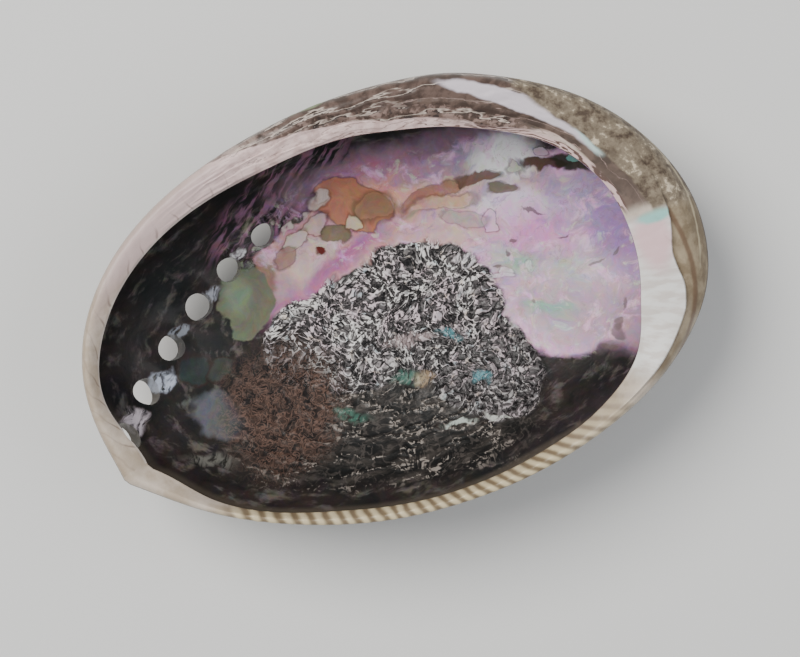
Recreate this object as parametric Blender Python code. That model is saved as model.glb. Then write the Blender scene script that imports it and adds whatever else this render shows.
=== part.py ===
"""An empty abalone shell lying on its back, opening up: one solid, grown in one piece.

+X runs along the shell to the spire end, +Z is up out of the opening, and the origin is under the middle,
on the surface that the shell rests on. Angles are degrees round the middle from +X, seen from above. The
outer lip is the -Y side, the broad flat shelf of the inner lip is the +Y side, and the growing tip is the
corner near 195 degrees.
"""

import math

import bmesh
import bpy
import numpy as np
from mathutils import Vector, noise

# Driving dimensions, in metres.
LENGTH = 0.1610
WIDTH = 0.1085
RIM_HEIGHT = 0.0400
FLOOR_THICKNESS = 0.0045
WORN_DEPTH = 0.0009

# Where the radii below are measured from. It puts the origin under the middle of the whole shell.
DRAWN_FROM = (-0.0005, -0.0011, 0.0)

# The lowest part of the back and of the floor, seen from above.
BACK_CENTRE = (0.0090, 0.0035)
FLOOR_CENTRE = (0.0060, 0.0000)

# The spire's apex, and the spiral that the shell grew along: its radius grows by e to this rate in a radian.
APEX = (0.0505, -0.0200)
SPIRAL_RATE = 0.66
TIP_RADIUS = 0.1316
TIP_DIRECTION = math.radians(180.2)
OLDEST = 9.0
AGE_STEP = 0.03

# Round the rim, as (degrees, value) pairs. Swell is a share of the ellipse's radius, the rest are metres.
OUTLINE_SWELL = (
    (0, 0.001), (15, -0.008), (30, 0.002), (45, 0.010), (60, 0.020), (75, 0.005), (90, -0.010),
    (120, -0.027), (150, -0.018), (180, -0.017), (210, -0.028), (225, -0.044), (255, -0.048),
    (285, -0.043), (315, -0.022), (330, 0.000), (345, 0.014),
)
BAND_WIDTH = (
    (0, 0.0192), (15, 0.0172), (30, 0.0158), (45, 0.0152), (60, 0.0144), (90, 0.0107), (120, 0.0095),
    (150, 0.0071), (165, 0.0055), (180, 0.0041), (195, 0.0069), (210, 0.0034), (240, 0.0034), (270, 0.0031),
    (300, 0.0041), (315, 0.0053), (330, 0.0092), (345, 0.0172),
)
CREST_RISE = (
    (0, -0.0005), (30, 0.0010), (60, 0.0016), (90, 0.0018), (120, 0.0012), (150, 0.0000), (180, -0.0018),
    (195, -0.0030), (225, -0.0022), (270, -0.0016), (315, -0.0014), (345, -0.0010),
)
KEEL_DROP = (
    (0, 0.0150), (30, 0.0135), (60, 0.0115), (90, 0.0095), (120, 0.0080), (150, 0.0055), (180, 0.0030),
    (195, 0.0020), (225, 0.0012), (270, 0.0010), (300, 0.0012), (320, 0.0050), (340, 0.0120),
)
SHELF_FALL = (
    (0, 0.0016), (60, 0.0022), (120, 0.0020), (165, 0.0022), (195, 0.0030), (225, 0.0036), (270, 0.0038),
    (315, 0.0034), (345, 0.0020),
)
UNDERCUT = (
    (0, 0.0125), (30, 0.0110), (60, 0.0090), (90, 0.0065), (120, 0.0055), (150, 0.0038), (180, 0.0012),
    (200, 0.0003), (225, 0.0002), (270, 0.0002), (310, 0.0006), (335, 0.0060),
)
UNDERCUT_HEIGHT = (
    (0, 0.0130), (30, 0.0125), (60, 0.0115), (90, 0.0105), (120, 0.0090), (150, 0.0070), (180, 0.0035),
    (200, 0.0020), (270, 0.0020), (310, 0.0030), (335, 0.0090),
)
EDGE_THICKNESS = 0.0012
CREST_SHARE = 0.30
SHELF_CURVE = 1.3

# Where the end of the lip lies over the whorl: how far its edge is from the keel, and how high it stands.
LIP_INSET = (
    (0, 0.0088), (12, 0.0064), (40, 0.0020), (90, 0.0010), (180, 0.0005), (270, 0.0005), (322, 0.0006),
    (330, 0.0020), (336, 0.0030), (346, 0.0064), (353, 0.0100),
)
LIP_STEP = (
    (0, 0.0013), (12, 0.0006), (26, 0.0000), (60, 0.0000), (120, 0.0000), (200, 0.0000), (290, 0.0000),
    (315, 0.0001), (326, 0.0010), (336, 0.0016), (350, 0.0016),
)
LIP_EDGE_WIDTH = 0.0005

TIP_ANGLE = 196.0
TIP_SWELL = 0.0560
TIP_SPREAD = 7.0

# How the back and the inside curve up: 1 - (1 - share ** first) ** second.
BACK_CURVE = (2.5, 0.55)
FLOOR_CURVE = (2.3, 0.625)

# The row of holes: degrees round the apex and bore radius, oldest first, and how far each leans off upright.
HOLES = (
    (148.3, 0.0031, 12.0), (154.6, 0.0032, 12.0), (160.4, 0.0036, 14.0),
    (166.0, 0.0035, 26.0), (171.2, 0.0036, 32.0), (176.0, 0.0037, 38.0),
)
SEALED_STEP = math.radians(6.4)
SEALED_COUNT = 22
KNOB_HEIGHT = 0.0024
KNOB_RADIUS = 0.0063
KNOB_FULL_AT = 0.095
SEALED_STRENGTH = 0.8
BORE_REACH = 0.030
BORE_SIDES = 16
WALL_MIDDLE = 0.0025

# Relief, in metres.
CORD_COUNT = 19
CORD_HEIGHT = 0.00045
CORD_FADE = (0.030, 0.050)
EDGE_FADE = (0.90, 1.00)
LEDGE_HEIGHT = 0.00035
LEDGE_RATE = 12.0

# The small coiled spire: how far off its suture meets the lip, and how fast the suture coils in.
SUTURE_RADIUS = 0.0188
SUTURE_DIRECTION = math.radians(285.0)
SUTURE_RATE = 0.22
SUTURE_DEPTH = 0.0023
SUTURE_SLOPE = 0.24
SUTURE_WIDTH = 0.0042
SPIRE_HEIGHT = 0.0042
SPIRE_RADIUS = 0.0130

SCAR_CENTRE = (0.0010, -0.0089)
SCAR_RADII = (0.0355, 0.0262)
SCAR_TURN = math.radians(-34.0)
SCAR_EDGE = (0.75, 1.05)
SCAR_LUMP = 0.0008
SCAR_LUMP_SIZE = 0.0065

# How finely the mesh is drawn, and how its rings crowd towards the apex and the wall.
COLUMNS = 92
OUTER_RINGS = 24
SLOPE_RINGS = 3
SHELF_RINGS = 3
UNDER_RINGS = 4
BOWL_RINGS = 15
BACK_SPACING = 1.35
BOWL_SPACING = 0.9

SHELL_COLOUR = (0.46, 0.40, 0.38, 1.0)


def around(degrees, pairs):
    """A smooth closed curve through (degrees, value) pairs, read at these angles."""
    keys = np.array([pair[0] for pair in pairs], float)
    values = np.array([pair[1] for pair in pairs], float)
    keys = np.concatenate([keys[-2:] - 360, keys, keys[:3] + 360])
    values = np.concatenate([values[-2:], values, values[:3]])
    slopes = np.gradient(values, keys)
    at = np.mod(np.asarray(degrees, float), 360)
    i = np.clip(np.searchsorted(keys, at, side="right") - 1, 0, len(keys) - 2)
    span = keys[i + 1] - keys[i]
    t = (at - keys[i]) / span
    rise = values[i + 1] - values[i]
    return (
        values[i]
        + rise * (3 * t**2 - 2 * t**3)
        + span * slopes[i] * (t - 2 * t**2 + t**3)
        + span * slopes[i + 1] * (t**3 - t**2)
    )


def smooth(value, low, high):
    """0 below low, 1 above high, and an even bend between them."""
    t = np.clip((value - low) / (high - low), 0, 1)
    return t * t * (3 - 2 * t)


def keel_radius(degrees):
    """The shell's widest outline, seen from above: an ellipse with a corner at the growing tip."""
    a, b = LENGTH / 2, WIDTH / 2
    t = np.radians(degrees)
    ellipse = a * b / np.hypot(b * np.cos(t), a * np.sin(t))
    off_tip = np.abs(np.mod(np.asarray(degrees, float) - TIP_ANGLE + 180, 360) - 180)
    return ellipse * (1 + around(degrees, OUTLINE_SWELL) + TIP_SWELL * np.exp(-off_tip / TIP_SPREAD))


def opening_radius(degrees):
    return keel_radius(degrees) - around(degrees, BAND_WIDTH)


def crest_height(degrees):
    return RIM_HEIGHT + around(degrees, CREST_RISE)


def keel_height(degrees):
    return crest_height(degrees) - around(degrees, KEEL_DROP)


def opening_height(degrees):
    return crest_height(degrees) - around(degrees, SHELF_FALL)


def bowl(share, curve):
    rise, turn = curve
    return 1 - (1 - np.clip(share, 0, 1) ** rise) ** turn


def spiral(x, y):
    """(distance from the apex, direction from it, place across the whorl, the same all along a cord)"""
    rho = np.maximum(np.hypot(x - APEX[0], y - APEX[1]), 1e-5)
    direction = np.arctan2(y - APEX[1], x - APEX[0])
    return rho, direction, direction + np.log(TIP_RADIUS / rho) / SPIRAL_RATE


def spiral_point(direction):
    """Where the row of holes passes, at this direction from the apex in radians, and how far off that is."""
    rho = TIP_RADIUS * math.exp(-SPIRAL_RATE * (TIP_DIRECTION - direction))
    return APEX[0] + rho * math.cos(direction), APEX[1] + rho * math.sin(direction), rho


def keel_reach(direction, centre):
    """Distance from this centre to the widest outline, in this direction in radians."""
    degrees = np.arange(0, 360, 1.0)
    edge_x = keel_radius(degrees) * np.cos(np.radians(degrees)) - centre[0]
    edge_y = keel_radius(degrees) * np.sin(np.radians(degrees)) - centre[1]
    return np.interp(direction, np.arctan2(edge_y, edge_x), np.hypot(edge_x, edge_y), period=2 * math.pi)


def growth_age(x, y):
    """How far the shell has turned, in radians, since this place was its edge: even along a growth line."""
    rho, direction, _ = spiral(x, y)
    age = np.zeros_like(rho)
    for turn in np.arange(0.0, OLDEST, AGE_STEP):
        age = np.where(rho * math.exp(SPIRAL_RATE * turn) < keel_reach(direction + turn, APEX), turn, age)
    return age


def knobs(x, y):
    """Low mounds along the row of holes: round those still open, and over each one sealed earlier."""
    height = np.zeros_like(x)
    places = [(math.radians(hole[0]), 1.0) for hole in HOLES]
    places += [(places[0][0] - SEALED_STEP * n, SEALED_STRENGTH) for n in range(1, SEALED_COUNT)]
    for direction, strength in places:
        px, py, rho = spiral_point(direction)
        grown = min(1.0, rho / KNOB_FULL_AT)
        away = np.hypot(x - px, y - py) / (KNOB_RADIUS * grown)
        height += strength * KNOB_HEIGHT * grown * np.exp(-(away**2))
    return height


def spire(x, y):
    """The low coiled cone at the end of the back. Each whorl is rounded, with a groove at its suture."""
    rho, direction, _ = spiral(x, y)
    back = np.mod(SUTURE_DIRECTION - direction, 2 * math.pi)
    suture = SUTURE_RADIUS * np.exp(-SUTURE_RATE * back)
    whorls = np.log(suture / rho) / (2 * math.pi * SUTURE_RATE)
    inner = np.abs(np.sin(math.pi * np.maximum(whorls, 0.0)))
    outer = 1 - np.exp(-((np.maximum(rho - suture, 0.0) / SUTURE_WIDTH) ** 2))
    rounded = np.where(whorls > 0, inner, outer)
    depth = np.minimum(SUTURE_SLOPE * rho, SUTURE_DEPTH)
    return SPIRE_HEIGHT * np.exp(-((rho / SPIRE_RADIUS) ** 2)) - depth * (1 - rounded)


def outer_relief(x, y):
    """How far the outside stands proud of its smooth form: cords, growth ledges, the spire and the knobs."""
    rho, _, place = spiral(x, y)
    shown = smooth(rho, *CORD_FADE)
    cords = CORD_HEIGHT * np.cos(CORD_COUNT * place)
    ledges = LEDGE_HEIGHT * np.sin(LEDGE_RATE * growth_age(x, y))
    return shown * (cords + ledges) + spire(x, y) + knobs(x, y)


def back_share(x, y):
    """(0 at the lowest part of the back to 1 on the keel, degrees round the middle where that ray ends)"""
    dx, dy = x - BACK_CENTRE[0], y - BACK_CENTRE[1]
    share = np.hypot(dx, dy) / keel_reach(np.arctan2(dy, dx), BACK_CENTRE)
    edge_x = BACK_CENTRE[0] + dx / np.maximum(share, 1e-6)
    edge_y = BACK_CENTRE[1] + dy / np.maximum(share, 1e-6)
    return share, np.degrees(np.arctan2(edge_y, edge_x))


def back_height(x, y):
    """Height of the outside at these places in plan. Nothing reaches below the worn spot it rests on."""
    share, degrees = back_share(x, y)
    fade = 1 - smooth(share, *EDGE_FADE)
    smooth_form = keel_height(degrees) * bowl(share, BACK_CURVE) - WORN_DEPTH * (1 - share)
    return np.maximum(smooth_form - outer_relief(x, y) * fade, 0.0)


def scar_relief(x, y):
    """The rough lumps where the foot muscle held on, in the middle of the floor."""
    c, s = math.cos(SCAR_TURN), math.sin(SCAR_TURN)
    dx, dy = x - SCAR_CENTRE[0], y - SCAR_CENTRE[1]
    along, across = c * dx + s * dy, c * dy - s * dx
    inside = 1 - smooth(np.hypot(along / SCAR_RADII[0], across / SCAR_RADII[1]), *SCAR_EDGE)
    lumps = [noise.noise(Vector((px, py, 0.0)) / SCAR_LUMP_SIZE) for px, py in zip(x, y)]
    return inside * SCAR_LUMP * (0.4 + np.array(lumps))


def rings():
    """Every ring of points: from the apex out to the keel, over the rim and down to the floor."""
    degrees = np.arange(COLUMNS) * 360 / COLUMNS
    c, s = np.cos(np.radians(degrees)), np.sin(np.radians(degrees))
    keel = keel_radius(degrees)
    found = []
    for n in range(1, OUTER_RINGS + 1):
        share = (n / OUTER_RINGS) ** BACK_SPACING
        x = APEX[0] + share * (keel * c - APEX[0])
        y = APEX[1] + share * (keel * s - APEX[1])
        found.append((x, y, back_height(x, y) if n < OUTER_RINGS else keel_height(degrees)))
    width = around(degrees, BAND_WIDTH)
    crest, low = crest_height(degrees), keel_height(degrees)
    fall, step = around(degrees, SHELF_FALL), around(degrees, LIP_STEP)
    brow = np.maximum(CREST_SHARE, around(degrees, LIP_INSET) / width)
    for n in range(1, SLOPE_RINGS + 1):
        up = n / SLOPE_RINGS
        radius = keel - width * brow * (1 - math.cos(math.pi / 2 * up))
        found.append((radius * c, radius * s, low + (crest - step - low) * math.sin(math.pi / 2 * up)))
    for n in range(SHELF_RINGS + 1):
        down = n / SHELF_RINGS
        radius = keel - width * brow - LIP_EDGE_WIDTH - (width * (1 - brow) - LIP_EDGE_WIDTH) * down
        found.append((radius * c, radius * s, crest - fall * down**SHELF_CURVE))
    mouth, top = opening_radius(degrees), opening_height(degrees) - EDGE_THICKNESS
    under, under_height = around(degrees, UNDERCUT), around(degrees, UNDERCUT_HEIGHT)
    for n in range(UNDER_RINGS):
        turn = math.pi / 2 * n / UNDER_RINGS
        radius = mouth + under * math.sin(turn)
        found.append((radius * c, radius * s, top - under_height * (1 - math.cos(turn))))
    deep, wall = top - under_height, mouth + under
    for n in range(BOWL_RINGS):
        share = math.cos(math.pi / 2 * n / BOWL_RINGS) ** BOWL_SPACING
        x = FLOOR_CENTRE[0] + share * (wall * c - FLOOR_CENTRE[0])
        y = FLOOR_CENTRE[1] + share * (wall * s - FLOOR_CENTRE[1])
        height = FLOOR_THICKNESS + (deep - FLOOR_THICKNESS) * bowl(share, FLOOR_CURVE) + scar_relief(x, y)
        found.append((x, y, height))
    return found


def shell_mesh():
    """A closed skin over the rings, ending in a point at the apex and one at the middle of the floor."""
    mesh = bpy.data.meshes.new("abalone_shell")
    bm = bmesh.new()
    tip_x, tip_y = np.array(APEX).reshape(2, 1)
    middle_x, middle_y = np.array(FLOOR_CENTRE).reshape(2, 1)
    apex = bm.verts.new((*APEX, back_height(tip_x, tip_y)[0]))
    loops = [[bm.verts.new(point) for point in zip(*ring)] for ring in rings()]
    floor = bm.verts.new((*FLOOR_CENTRE, FLOOR_THICKNESS + scar_relief(middle_x, middle_y)[0]))
    for k in range(COLUMNS):
        after = (k + 1) % COLUMNS
        bm.faces.new((apex, loops[0][after], loops[0][k]))
        for near, far in zip(loops, loops[1:]):
            bm.faces.new((near[k], near[after], far[after], far[k]))
        bm.faces.new((loops[-1][k], loops[-1][after], floor))
    bmesh.ops.recalc_face_normals(bm, faces=bm.faces)
    bm.to_mesh(mesh)
    bm.free()
    return mesh


def bore(number, direction_degrees, radius, lean_degrees):
    """A cutter for one open hole. It leans outward, away from the shell's middle, as the wall does."""
    x, y, _ = spiral_point(math.radians(direction_degrees))
    outward = Vector((x, y, 0.0)).normalized()
    lean = math.radians(lean_degrees)
    axis = Vector((0, 0, 1)) * math.cos(lean) - outward * math.sin(lean)
    share, degrees = back_share(np.array([x]), np.array([y]))
    height = float((keel_height(degrees) * bowl(share, BACK_CURVE))[0]) + WALL_MIDDLE
    bm = bmesh.new()
    bmesh.ops.create_cone(
        bm, cap_ends=True, segments=BORE_SIDES, radius1=radius, radius2=radius, depth=BORE_REACH
    )
    mesh = bpy.data.meshes.new(f"bore_{number}")
    bm.to_mesh(mesh)
    bm.free()
    cutter = bpy.data.objects.new(f"bore_{number}", mesh)
    cutter.location = Vector(DRAWN_FROM) + Vector((x, y, height))
    cutter.rotation_mode = "QUATERNION"
    cutter.rotation_quaternion = axis.to_track_quat("Z", "Y")
    cutter.hide_render = True
    cutter.display_type = "WIRE"
    bpy.context.scene.collection.objects.link(cutter)
    return cutter


def shell_material():
    material = bpy.data.materials.new("shell")
    material.use_nodes = True
    surface = material.node_tree.nodes["Principled BSDF"]
    surface.inputs["Base Color"].default_value = SHELL_COLOUR
    surface.inputs["Roughness"].default_value = 0.35
    surface.inputs["Metallic"].default_value = 0.0
    return material


def build():
    for old in list(bpy.data.objects):
        bpy.data.objects.remove(old)
    shell = bpy.data.objects.new("abalone_shell", shell_mesh())
    shell.location = DRAWN_FROM
    bpy.context.scene.collection.objects.link(shell)
    shell.data.materials.append(shell_material())
    for number, (direction, radius, lean) in enumerate(HOLES, 1):
        cut = shell.modifiers.new(f"hole_{number}", "BOOLEAN")
        cut.operation = "DIFFERENCE"
        cut.object = bore(number, direction, radius, lean)
    shell.data.shade_smooth()
    shell.data.set_sharp_from_angle(angle=math.radians(40))


build()
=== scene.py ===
"""The looks of an empty abalone shell that lies on its back, opening up.

One skin replaces the plain solid. It is grown from the same outlines and the same spiral, with the
fine relief that the solid is too coarse for: cords, growth lines, crust, the lip's ribs, the shelf's
layers and the muscle scar.
"""

import math

import bpy
import numpy as np
from mathutils import Matrix, Vector, kdtree, noise


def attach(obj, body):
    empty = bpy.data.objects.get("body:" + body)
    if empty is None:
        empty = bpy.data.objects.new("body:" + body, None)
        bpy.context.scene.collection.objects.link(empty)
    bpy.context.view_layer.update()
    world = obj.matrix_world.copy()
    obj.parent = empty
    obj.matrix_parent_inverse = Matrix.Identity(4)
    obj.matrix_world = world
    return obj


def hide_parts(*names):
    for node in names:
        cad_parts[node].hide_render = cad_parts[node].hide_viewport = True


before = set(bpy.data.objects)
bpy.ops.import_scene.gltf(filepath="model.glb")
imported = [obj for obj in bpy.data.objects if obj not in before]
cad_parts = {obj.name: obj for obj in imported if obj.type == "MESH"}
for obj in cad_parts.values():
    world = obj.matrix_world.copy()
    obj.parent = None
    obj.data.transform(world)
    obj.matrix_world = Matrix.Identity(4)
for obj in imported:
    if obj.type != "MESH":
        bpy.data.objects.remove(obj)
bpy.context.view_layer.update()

# The solid's own dimensions, in metres. Angles are degrees round the middle from +X, seen from above.
LENGTH = 0.1610
WIDTH = 0.1085
RIM_HEIGHT = 0.0400
FLOOR_THICKNESS = 0.0045
WORN_DEPTH = 0.0009
DRAWN_FROM = (-0.0005, -0.0011, 0.0)
BACK_CENTRE = (0.0090, 0.0035)
FLOOR_CENTRE = (0.0060, 0.0000)
APEX = (0.0505, -0.0200)
SPIRAL_RATE = 0.66
TIP_RADIUS = 0.1316
TIP_DIRECTION = math.radians(180.2)
OLDEST = 9.0
AGE_STEP = 0.03
OUTLINE_SWELL = (
    (0, 0.001), (15, -0.008), (30, 0.002), (45, 0.010), (60, 0.020), (75, 0.005), (90, -0.010),
    (120, -0.027), (150, -0.018), (180, -0.017), (210, -0.028), (225, -0.044), (255, -0.048),
    (285, -0.043), (315, -0.022), (330, 0.000), (345, 0.014),
)
BAND_WIDTH = (
    (0, 0.0192), (15, 0.0172), (30, 0.0158), (45, 0.0152), (60, 0.0144), (90, 0.0107), (120, 0.0095),
    (150, 0.0071), (165, 0.0055), (180, 0.0041), (195, 0.0069), (210, 0.0034), (240, 0.0034), (270, 0.0031),
    (300, 0.0041), (315, 0.0053), (330, 0.0092), (345, 0.0172),
)
CREST_RISE = (
    (0, -0.0005), (30, 0.0010), (60, 0.0016), (90, 0.0018), (120, 0.0012), (150, 0.0000), (180, -0.0018),
    (195, -0.0030), (225, -0.0022), (270, -0.0016), (315, -0.0014), (345, -0.0010),
)
KEEL_DROP = (
    (0, 0.0150), (30, 0.0135), (60, 0.0115), (90, 0.0095), (120, 0.0080), (150, 0.0055), (180, 0.0030),
    (195, 0.0020), (225, 0.0012), (270, 0.0010), (300, 0.0012), (320, 0.0050), (340, 0.0120),
)
SHELF_FALL = (
    (0, 0.0016), (60, 0.0022), (120, 0.0020), (165, 0.0022), (195, 0.0030), (225, 0.0036), (270, 0.0038),
    (315, 0.0034), (345, 0.0020),
)
UNDERCUT = (
    (0, 0.0125), (30, 0.0110), (60, 0.0090), (90, 0.0065), (120, 0.0055), (150, 0.0038), (180, 0.0012),
    (200, 0.0003), (225, 0.0002), (270, 0.0002), (310, 0.0006), (335, 0.0060),
)
UNDERCUT_HEIGHT = (
    (0, 0.0130), (30, 0.0125), (60, 0.0115), (90, 0.0105), (120, 0.0090), (150, 0.0070), (180, 0.0035),
    (200, 0.0020), (270, 0.0020), (310, 0.0030), (335, 0.0090),
)
EDGE_THICKNESS = 0.0012
CREST_SHARE = 0.30
SHELF_CURVE = 1.3
LIP_INSET = (
    (0, 0.0088), (12, 0.0064), (40, 0.0020), (90, 0.0010), (180, 0.0005), (270, 0.0005), (322, 0.0006),
    (330, 0.0020), (336, 0.0030), (346, 0.0064), (353, 0.0100),
)
LIP_STEP = (
    (0, 0.0013), (12, 0.0006), (26, 0.0000), (60, 0.0000), (120, 0.0000), (200, 0.0000), (290, 0.0000),
    (315, 0.0001), (326, 0.0010), (336, 0.0016), (350, 0.0016),
)
LIP_EDGE_WIDTH = 0.0005
TIP_ANGLE = 196.0
TIP_SWELL = 0.0560
TIP_SPREAD = 7.0
BACK_CURVE = (2.5, 0.55)
FLOOR_CURVE = (2.3, 0.625)
HOLES = (
    (148.3, 0.0031, 12.0), (154.6, 0.0032, 12.0), (160.4, 0.0036, 14.0),
    (166.0, 0.0035, 26.0), (171.2, 0.0036, 32.0), (176.0, 0.0037, 38.0),
)
SEALED_STEP = math.radians(6.4)
SEALED_COUNT = 22
KNOB_HEIGHT = 0.0024
KNOB_RADIUS = 0.0063
KNOB_FULL_AT = 0.095
SEALED_STRENGTH = 0.8
WALL_MIDDLE = 0.0025
SUTURE_RADIUS = 0.0188
SUTURE_DIRECTION = math.radians(285.0)
SUTURE_RATE = 0.22
SUTURE_DEPTH = 0.0023
SUTURE_SLOPE = 0.24
SUTURE_WIDTH = 0.0042
SPIRE_HEIGHT = 0.0042
SPIRE_RADIUS = 0.0130

# How finely the skin is drawn. The rim and the patches on the floor are then drawn twice as finely.
COLUMNS = 280
BACK_RINGS = 50
SLOPE_RINGS = 8
SHELF_RINGS = 14
UNDER_RINGS = 7
BOWL_RINGS = 68

# The small craters of the last sealed holes: place and size in plan.
CRATERS = ((-0.0180, 0.0303, 0.0030), (-0.0118, 0.0325, 0.0026), (-0.0240, 0.0262, 0.0022))

# The patches on the floor, as ovals in plan: (x, y, half length, half width, turn in degrees).
# SCRAP_SIZE is the width of one scrap of the crumpled nacre in the scar.
SCAR_LOBES = (
    (0.0080, -0.0022, 0.0205, 0.0165, -24), (-0.0131, -0.0036, 0.0221, 0.0143, -2),
    (0.0165, -0.0200, 0.0186, 0.0128, -48),
)
BROWN_PATCH = (-0.0350, -0.0165, 0.0150, 0.0160, -18)
DARK_PATCH = (-0.0101, -0.0300, 0.0388, 0.0135, -10)
SCRAP_SIZE = 0.0016

# The growth lines in the bowl run along ovals round this place.
FLOW_CENTRE = (-0.0040, -0.0020)
FLOW_RADII = (0.0680, 0.0440)

# Degrees round the rim are counted either way from this one, so that its pattern starts and ends at
# the corner on the left. The crust is an oval on the rim unrolled.
SEAM_FROM = 15.0
RIB_SPACING = 3.6
CRUST = (0.0130, 0.0000, 0.0320, 0.0102, 0)

# How high the fine relief stands, in metres. The back's comes first, then the bowl's and the rim's.
CORD_HEIGHT = 0.00030
YEAR_HEIGHT = 0.00035
STEP_HEIGHT = 0.00032
LINE_HEIGHT = 0.00010
BACK_CRUST_HEIGHT = 0.00028
SCAR_HEIGHT = 0.00042
FLOOR_LINE_HEIGHT = 0.00025
LAYER_HEIGHT = 0.00045
RIB_HEIGHT = 0.00036
RIM_CRUST_HEIGHT = 0.00080
DASH_HEIGHT = 0.00014
RIM_LUMP_HEIGHT = 0.00060


def around(degrees, pairs):
    """A smooth closed curve through (degrees, value) pairs, read at these angles."""
    keys = np.array([pair[0] for pair in pairs], float)
    values = np.array([pair[1] for pair in pairs], float)
    keys = np.concatenate([keys[-2:] - 360, keys, keys[:3] + 360])
    values = np.concatenate([values[-2:], values, values[:3]])
    slopes = np.gradient(values, keys)
    at = np.mod(np.asarray(degrees, float), 360)
    i = np.clip(np.searchsorted(keys, at, side="right") - 1, 0, len(keys) - 2)
    span = keys[i + 1] - keys[i]
    t = (at - keys[i]) / span
    rise = values[i + 1] - values[i]
    return (
        values[i]
        + rise * (3 * t**2 - 2 * t**3)
        + span * slopes[i] * (t - 2 * t**2 + t**3)
        + span * slopes[i + 1] * (t**3 - t**2)
    )


def smooth(value, low, high):
    """0 below low, 1 above high, and an even bend between them."""
    t = np.clip((value - low) / (high - low), 0, 1)
    return t * t * (3 - 2 * t)


def cloud(x, y, size, seed=0.0, octaves=1):
    """Soft seeded noise at these places, about -1 to 1, with lumps of this size in metres."""
    flat = zip(np.ravel(x) / size + seed, np.ravel(y) / size - seed)
    found = [noise.fractal(Vector((px, py, seed)), 0.9, 2.0, octaves) for px, py in flat]
    return np.array(found).reshape(np.shape(x))


def keel_radius(degrees):
    a, b = LENGTH / 2, WIDTH / 2
    t = np.radians(degrees)
    ellipse = a * b / np.hypot(b * np.cos(t), a * np.sin(t))
    off_tip = np.abs(np.mod(np.asarray(degrees, float) - TIP_ANGLE + 180, 360) - 180)
    return ellipse * (1 + around(degrees, OUTLINE_SWELL) + TIP_SWELL * np.exp(-off_tip / TIP_SPREAD))


def keel_reach(direction, centre):
    degrees = np.arange(0, 360, 1.0)
    edge_x = keel_radius(degrees) * np.cos(np.radians(degrees)) - centre[0]
    edge_y = keel_radius(degrees) * np.sin(np.radians(degrees)) - centre[1]
    return np.interp(direction, np.arctan2(edge_y, edge_x), np.hypot(edge_x, edge_y), period=2 * math.pi)


def crest_height(degrees):
    return RIM_HEIGHT + around(degrees, CREST_RISE)


def keel_height(degrees):
    return crest_height(degrees) - around(degrees, KEEL_DROP)


def bowl(share, curve):
    rise, turn = curve
    return 1 - (1 - np.clip(share, 0, 1) ** rise) ** turn


def spiral(x, y):
    rho = np.maximum(np.hypot(x - APEX[0], y - APEX[1]), 1e-5)
    direction = np.arctan2(y - APEX[1], x - APEX[0])
    return rho, direction, direction + np.log(TIP_RADIUS / rho) / SPIRAL_RATE


def spiral_point(direction):
    rho = TIP_RADIUS * math.exp(-SPIRAL_RATE * (TIP_DIRECTION - direction))
    return APEX[0] + rho * math.cos(direction), APEX[1] + rho * math.sin(direction), rho


def growth_age(x, y):
    rho, direction, _ = spiral(x, y)
    age = np.zeros_like(rho)
    for turn in np.arange(0.0, OLDEST, AGE_STEP):
        grown = rho * math.exp(SPIRAL_RATE * turn)
        reach = keel_reach(direction + turn, APEX)
        past = np.log(np.maximum(reach / grown, 1e-9)) / SPIRAL_RATE
        age = np.where(grown < reach, turn + np.minimum(past, AGE_STEP), age)
    return age


def cord_wave(x, y):
    """The spiral cords, -1 in the grooves and 1 along their tops. The widest ones split in two."""
    rho, _, place = spiral(x, y)
    split = smooth(rho, 0.078, 0.092)
    return (1 - split) * np.cos(38 * place) + split * np.cos(76 * place)


def knobs(x, y):
    height = np.zeros_like(x)
    places = [(math.radians(hole[0]), 1.0) for hole in HOLES]
    places += [(places[0][0] - SEALED_STEP * n, SEALED_STRENGTH) for n in range(1, SEALED_COUNT)]
    for direction, strength in places:
        px, py, rho = spiral_point(direction)
        grown = min(1.0, rho / KNOB_FULL_AT)
        away = np.hypot(x - px, y - py) / (KNOB_RADIUS * grown)
        height += strength * KNOB_HEIGHT * grown * np.exp(-(away**2))
    return height


def spire(x, y):
    rho, direction, _ = spiral(x, y)
    back = np.mod(SUTURE_DIRECTION - direction, 2 * math.pi)
    suture = SUTURE_RADIUS * np.exp(-SUTURE_RATE * back)
    whorls = np.log(suture / rho) / (2 * math.pi * SUTURE_RATE)
    inner = np.abs(np.sin(math.pi * np.maximum(whorls, 0.0)))
    outer = 1 - np.exp(-((np.maximum(rho - suture, 0.0) / SUTURE_WIDTH) ** 2))
    rounded = np.where(whorls > 0, inner, outer)
    depth = np.minimum(SUTURE_SLOPE * rho, SUTURE_DEPTH)
    return SPIRE_HEIGHT * np.exp(-((rho / SPIRE_RADIUS) ** 2)) - depth * (1 - rounded)


def back_relief(x, y, age):
    """Everything that stands proud of the back's smooth form."""
    rho, _, _ = spiral(x, y)
    shown = smooth(rho, 0.010, 0.024)
    cords = CORD_HEIGHT * cord_wave(x, y) * (0.6 + 0.5 * cloud(x, y, 0.020, 3.0))
    years = YEAR_HEIGHT * np.sin(12 * age)
    steps = STEP_HEIGHT * (1 - np.mod(age * 9 + 0.25 * cloud(x, y, 0.012, 5.0), 1.0)) ** 2
    lines = LINE_HEIGHT * np.sin(150 * age + 2.0 * cloud(x, y, 0.010, 1.0))
    crust = BACK_CRUST_HEIGHT * np.maximum(cloud(x, y, 0.0045, 7.0, 3), 0.0)
    return shown * (cords + years + steps + lines) + crust + spire(x, y) + knobs(x, y)


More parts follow.
